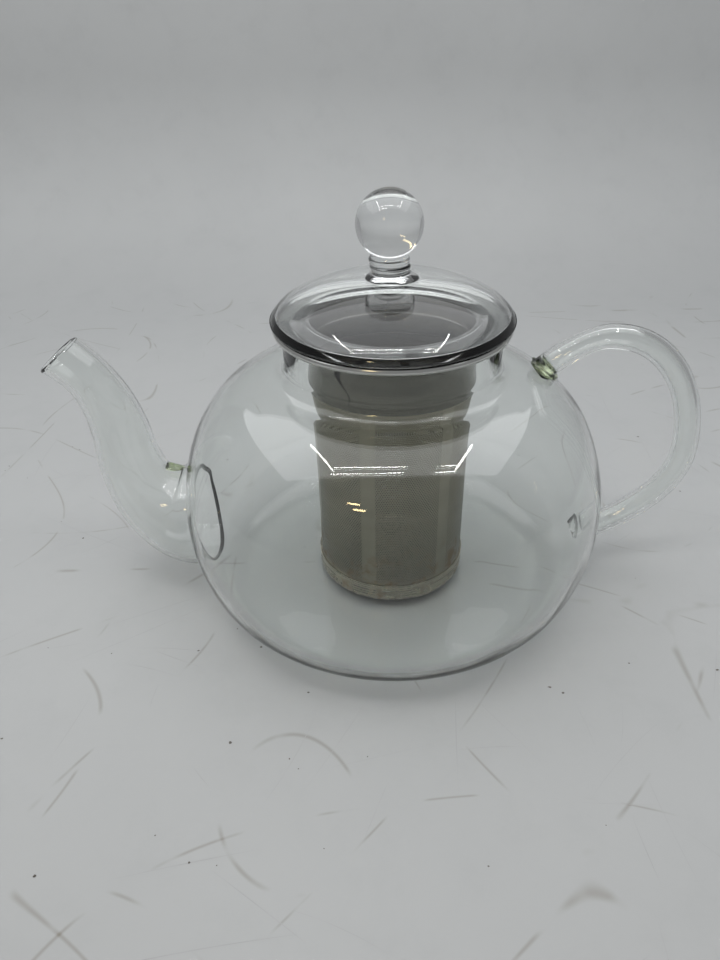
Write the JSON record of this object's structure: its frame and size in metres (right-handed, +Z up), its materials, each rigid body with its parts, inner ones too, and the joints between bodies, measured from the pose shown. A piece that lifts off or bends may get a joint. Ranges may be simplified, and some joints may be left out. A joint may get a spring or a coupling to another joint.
{
  "type": "glass teapot",
  "caption": "Round clear glass teapot with curved spout and loop handle, lift-out perforated steel infuser and lift-off domed glass lid with ball knob.",
  "frame": {"origin": "centre of the flat base the pot stands on", "axes": "+Z up, spout towards -X, handle towards +X"},
  "size_m": [0.2492, 0.164, 0.1566],
  "materials": {
    "clear_glass": "clear blown borosilicate glass",
    "lid_glass": "clear blown and solid borosilicate glass",
    "weld_glass": "fused glass, faintly green",
    "pressed_steel": "spun and polished stainless steel",
    "etched_steel": "dull etched stainless steel with fine holes",
    "stained_steel": "stainless steel with brown tea stains"
  },
  "bodies": {
    "pot": {"glass_body": "clear_glass", "glass_neck": "clear_glass", "spout": "clear_glass", "spout_weld": "weld_glass", "handle": "clear_glass", "handle_weld_top": "weld_glass", "handle_weld_bottom": "weld_glass"},
    "infuser": {"infuser_flange": "pressed_steel", "infuser_funnel": "pressed_steel", "infuser_collar": "pressed_steel", "infuser_wall": "etched_steel", "infuser_cup": "stained_steel"},
    "lid": {"lid_dome": "lid_glass", "lid_collar": "lid_glass", "lid_stem": "lid_glass", "lid_knob": "lid_glass"}
  },
  "joints": [
    {"name": "infuser_lift", "type": "slide", "parent": "pot", "child": "infuser", "axis": [0, 0, 1], "range_m": [0, 0.115]},
    {"name": "lid_lift", "type": "slide", "parent": "infuser", "child": "lid", "axis": [0, 0, 1], "range_m": [0, 0.04]}
  ]
}
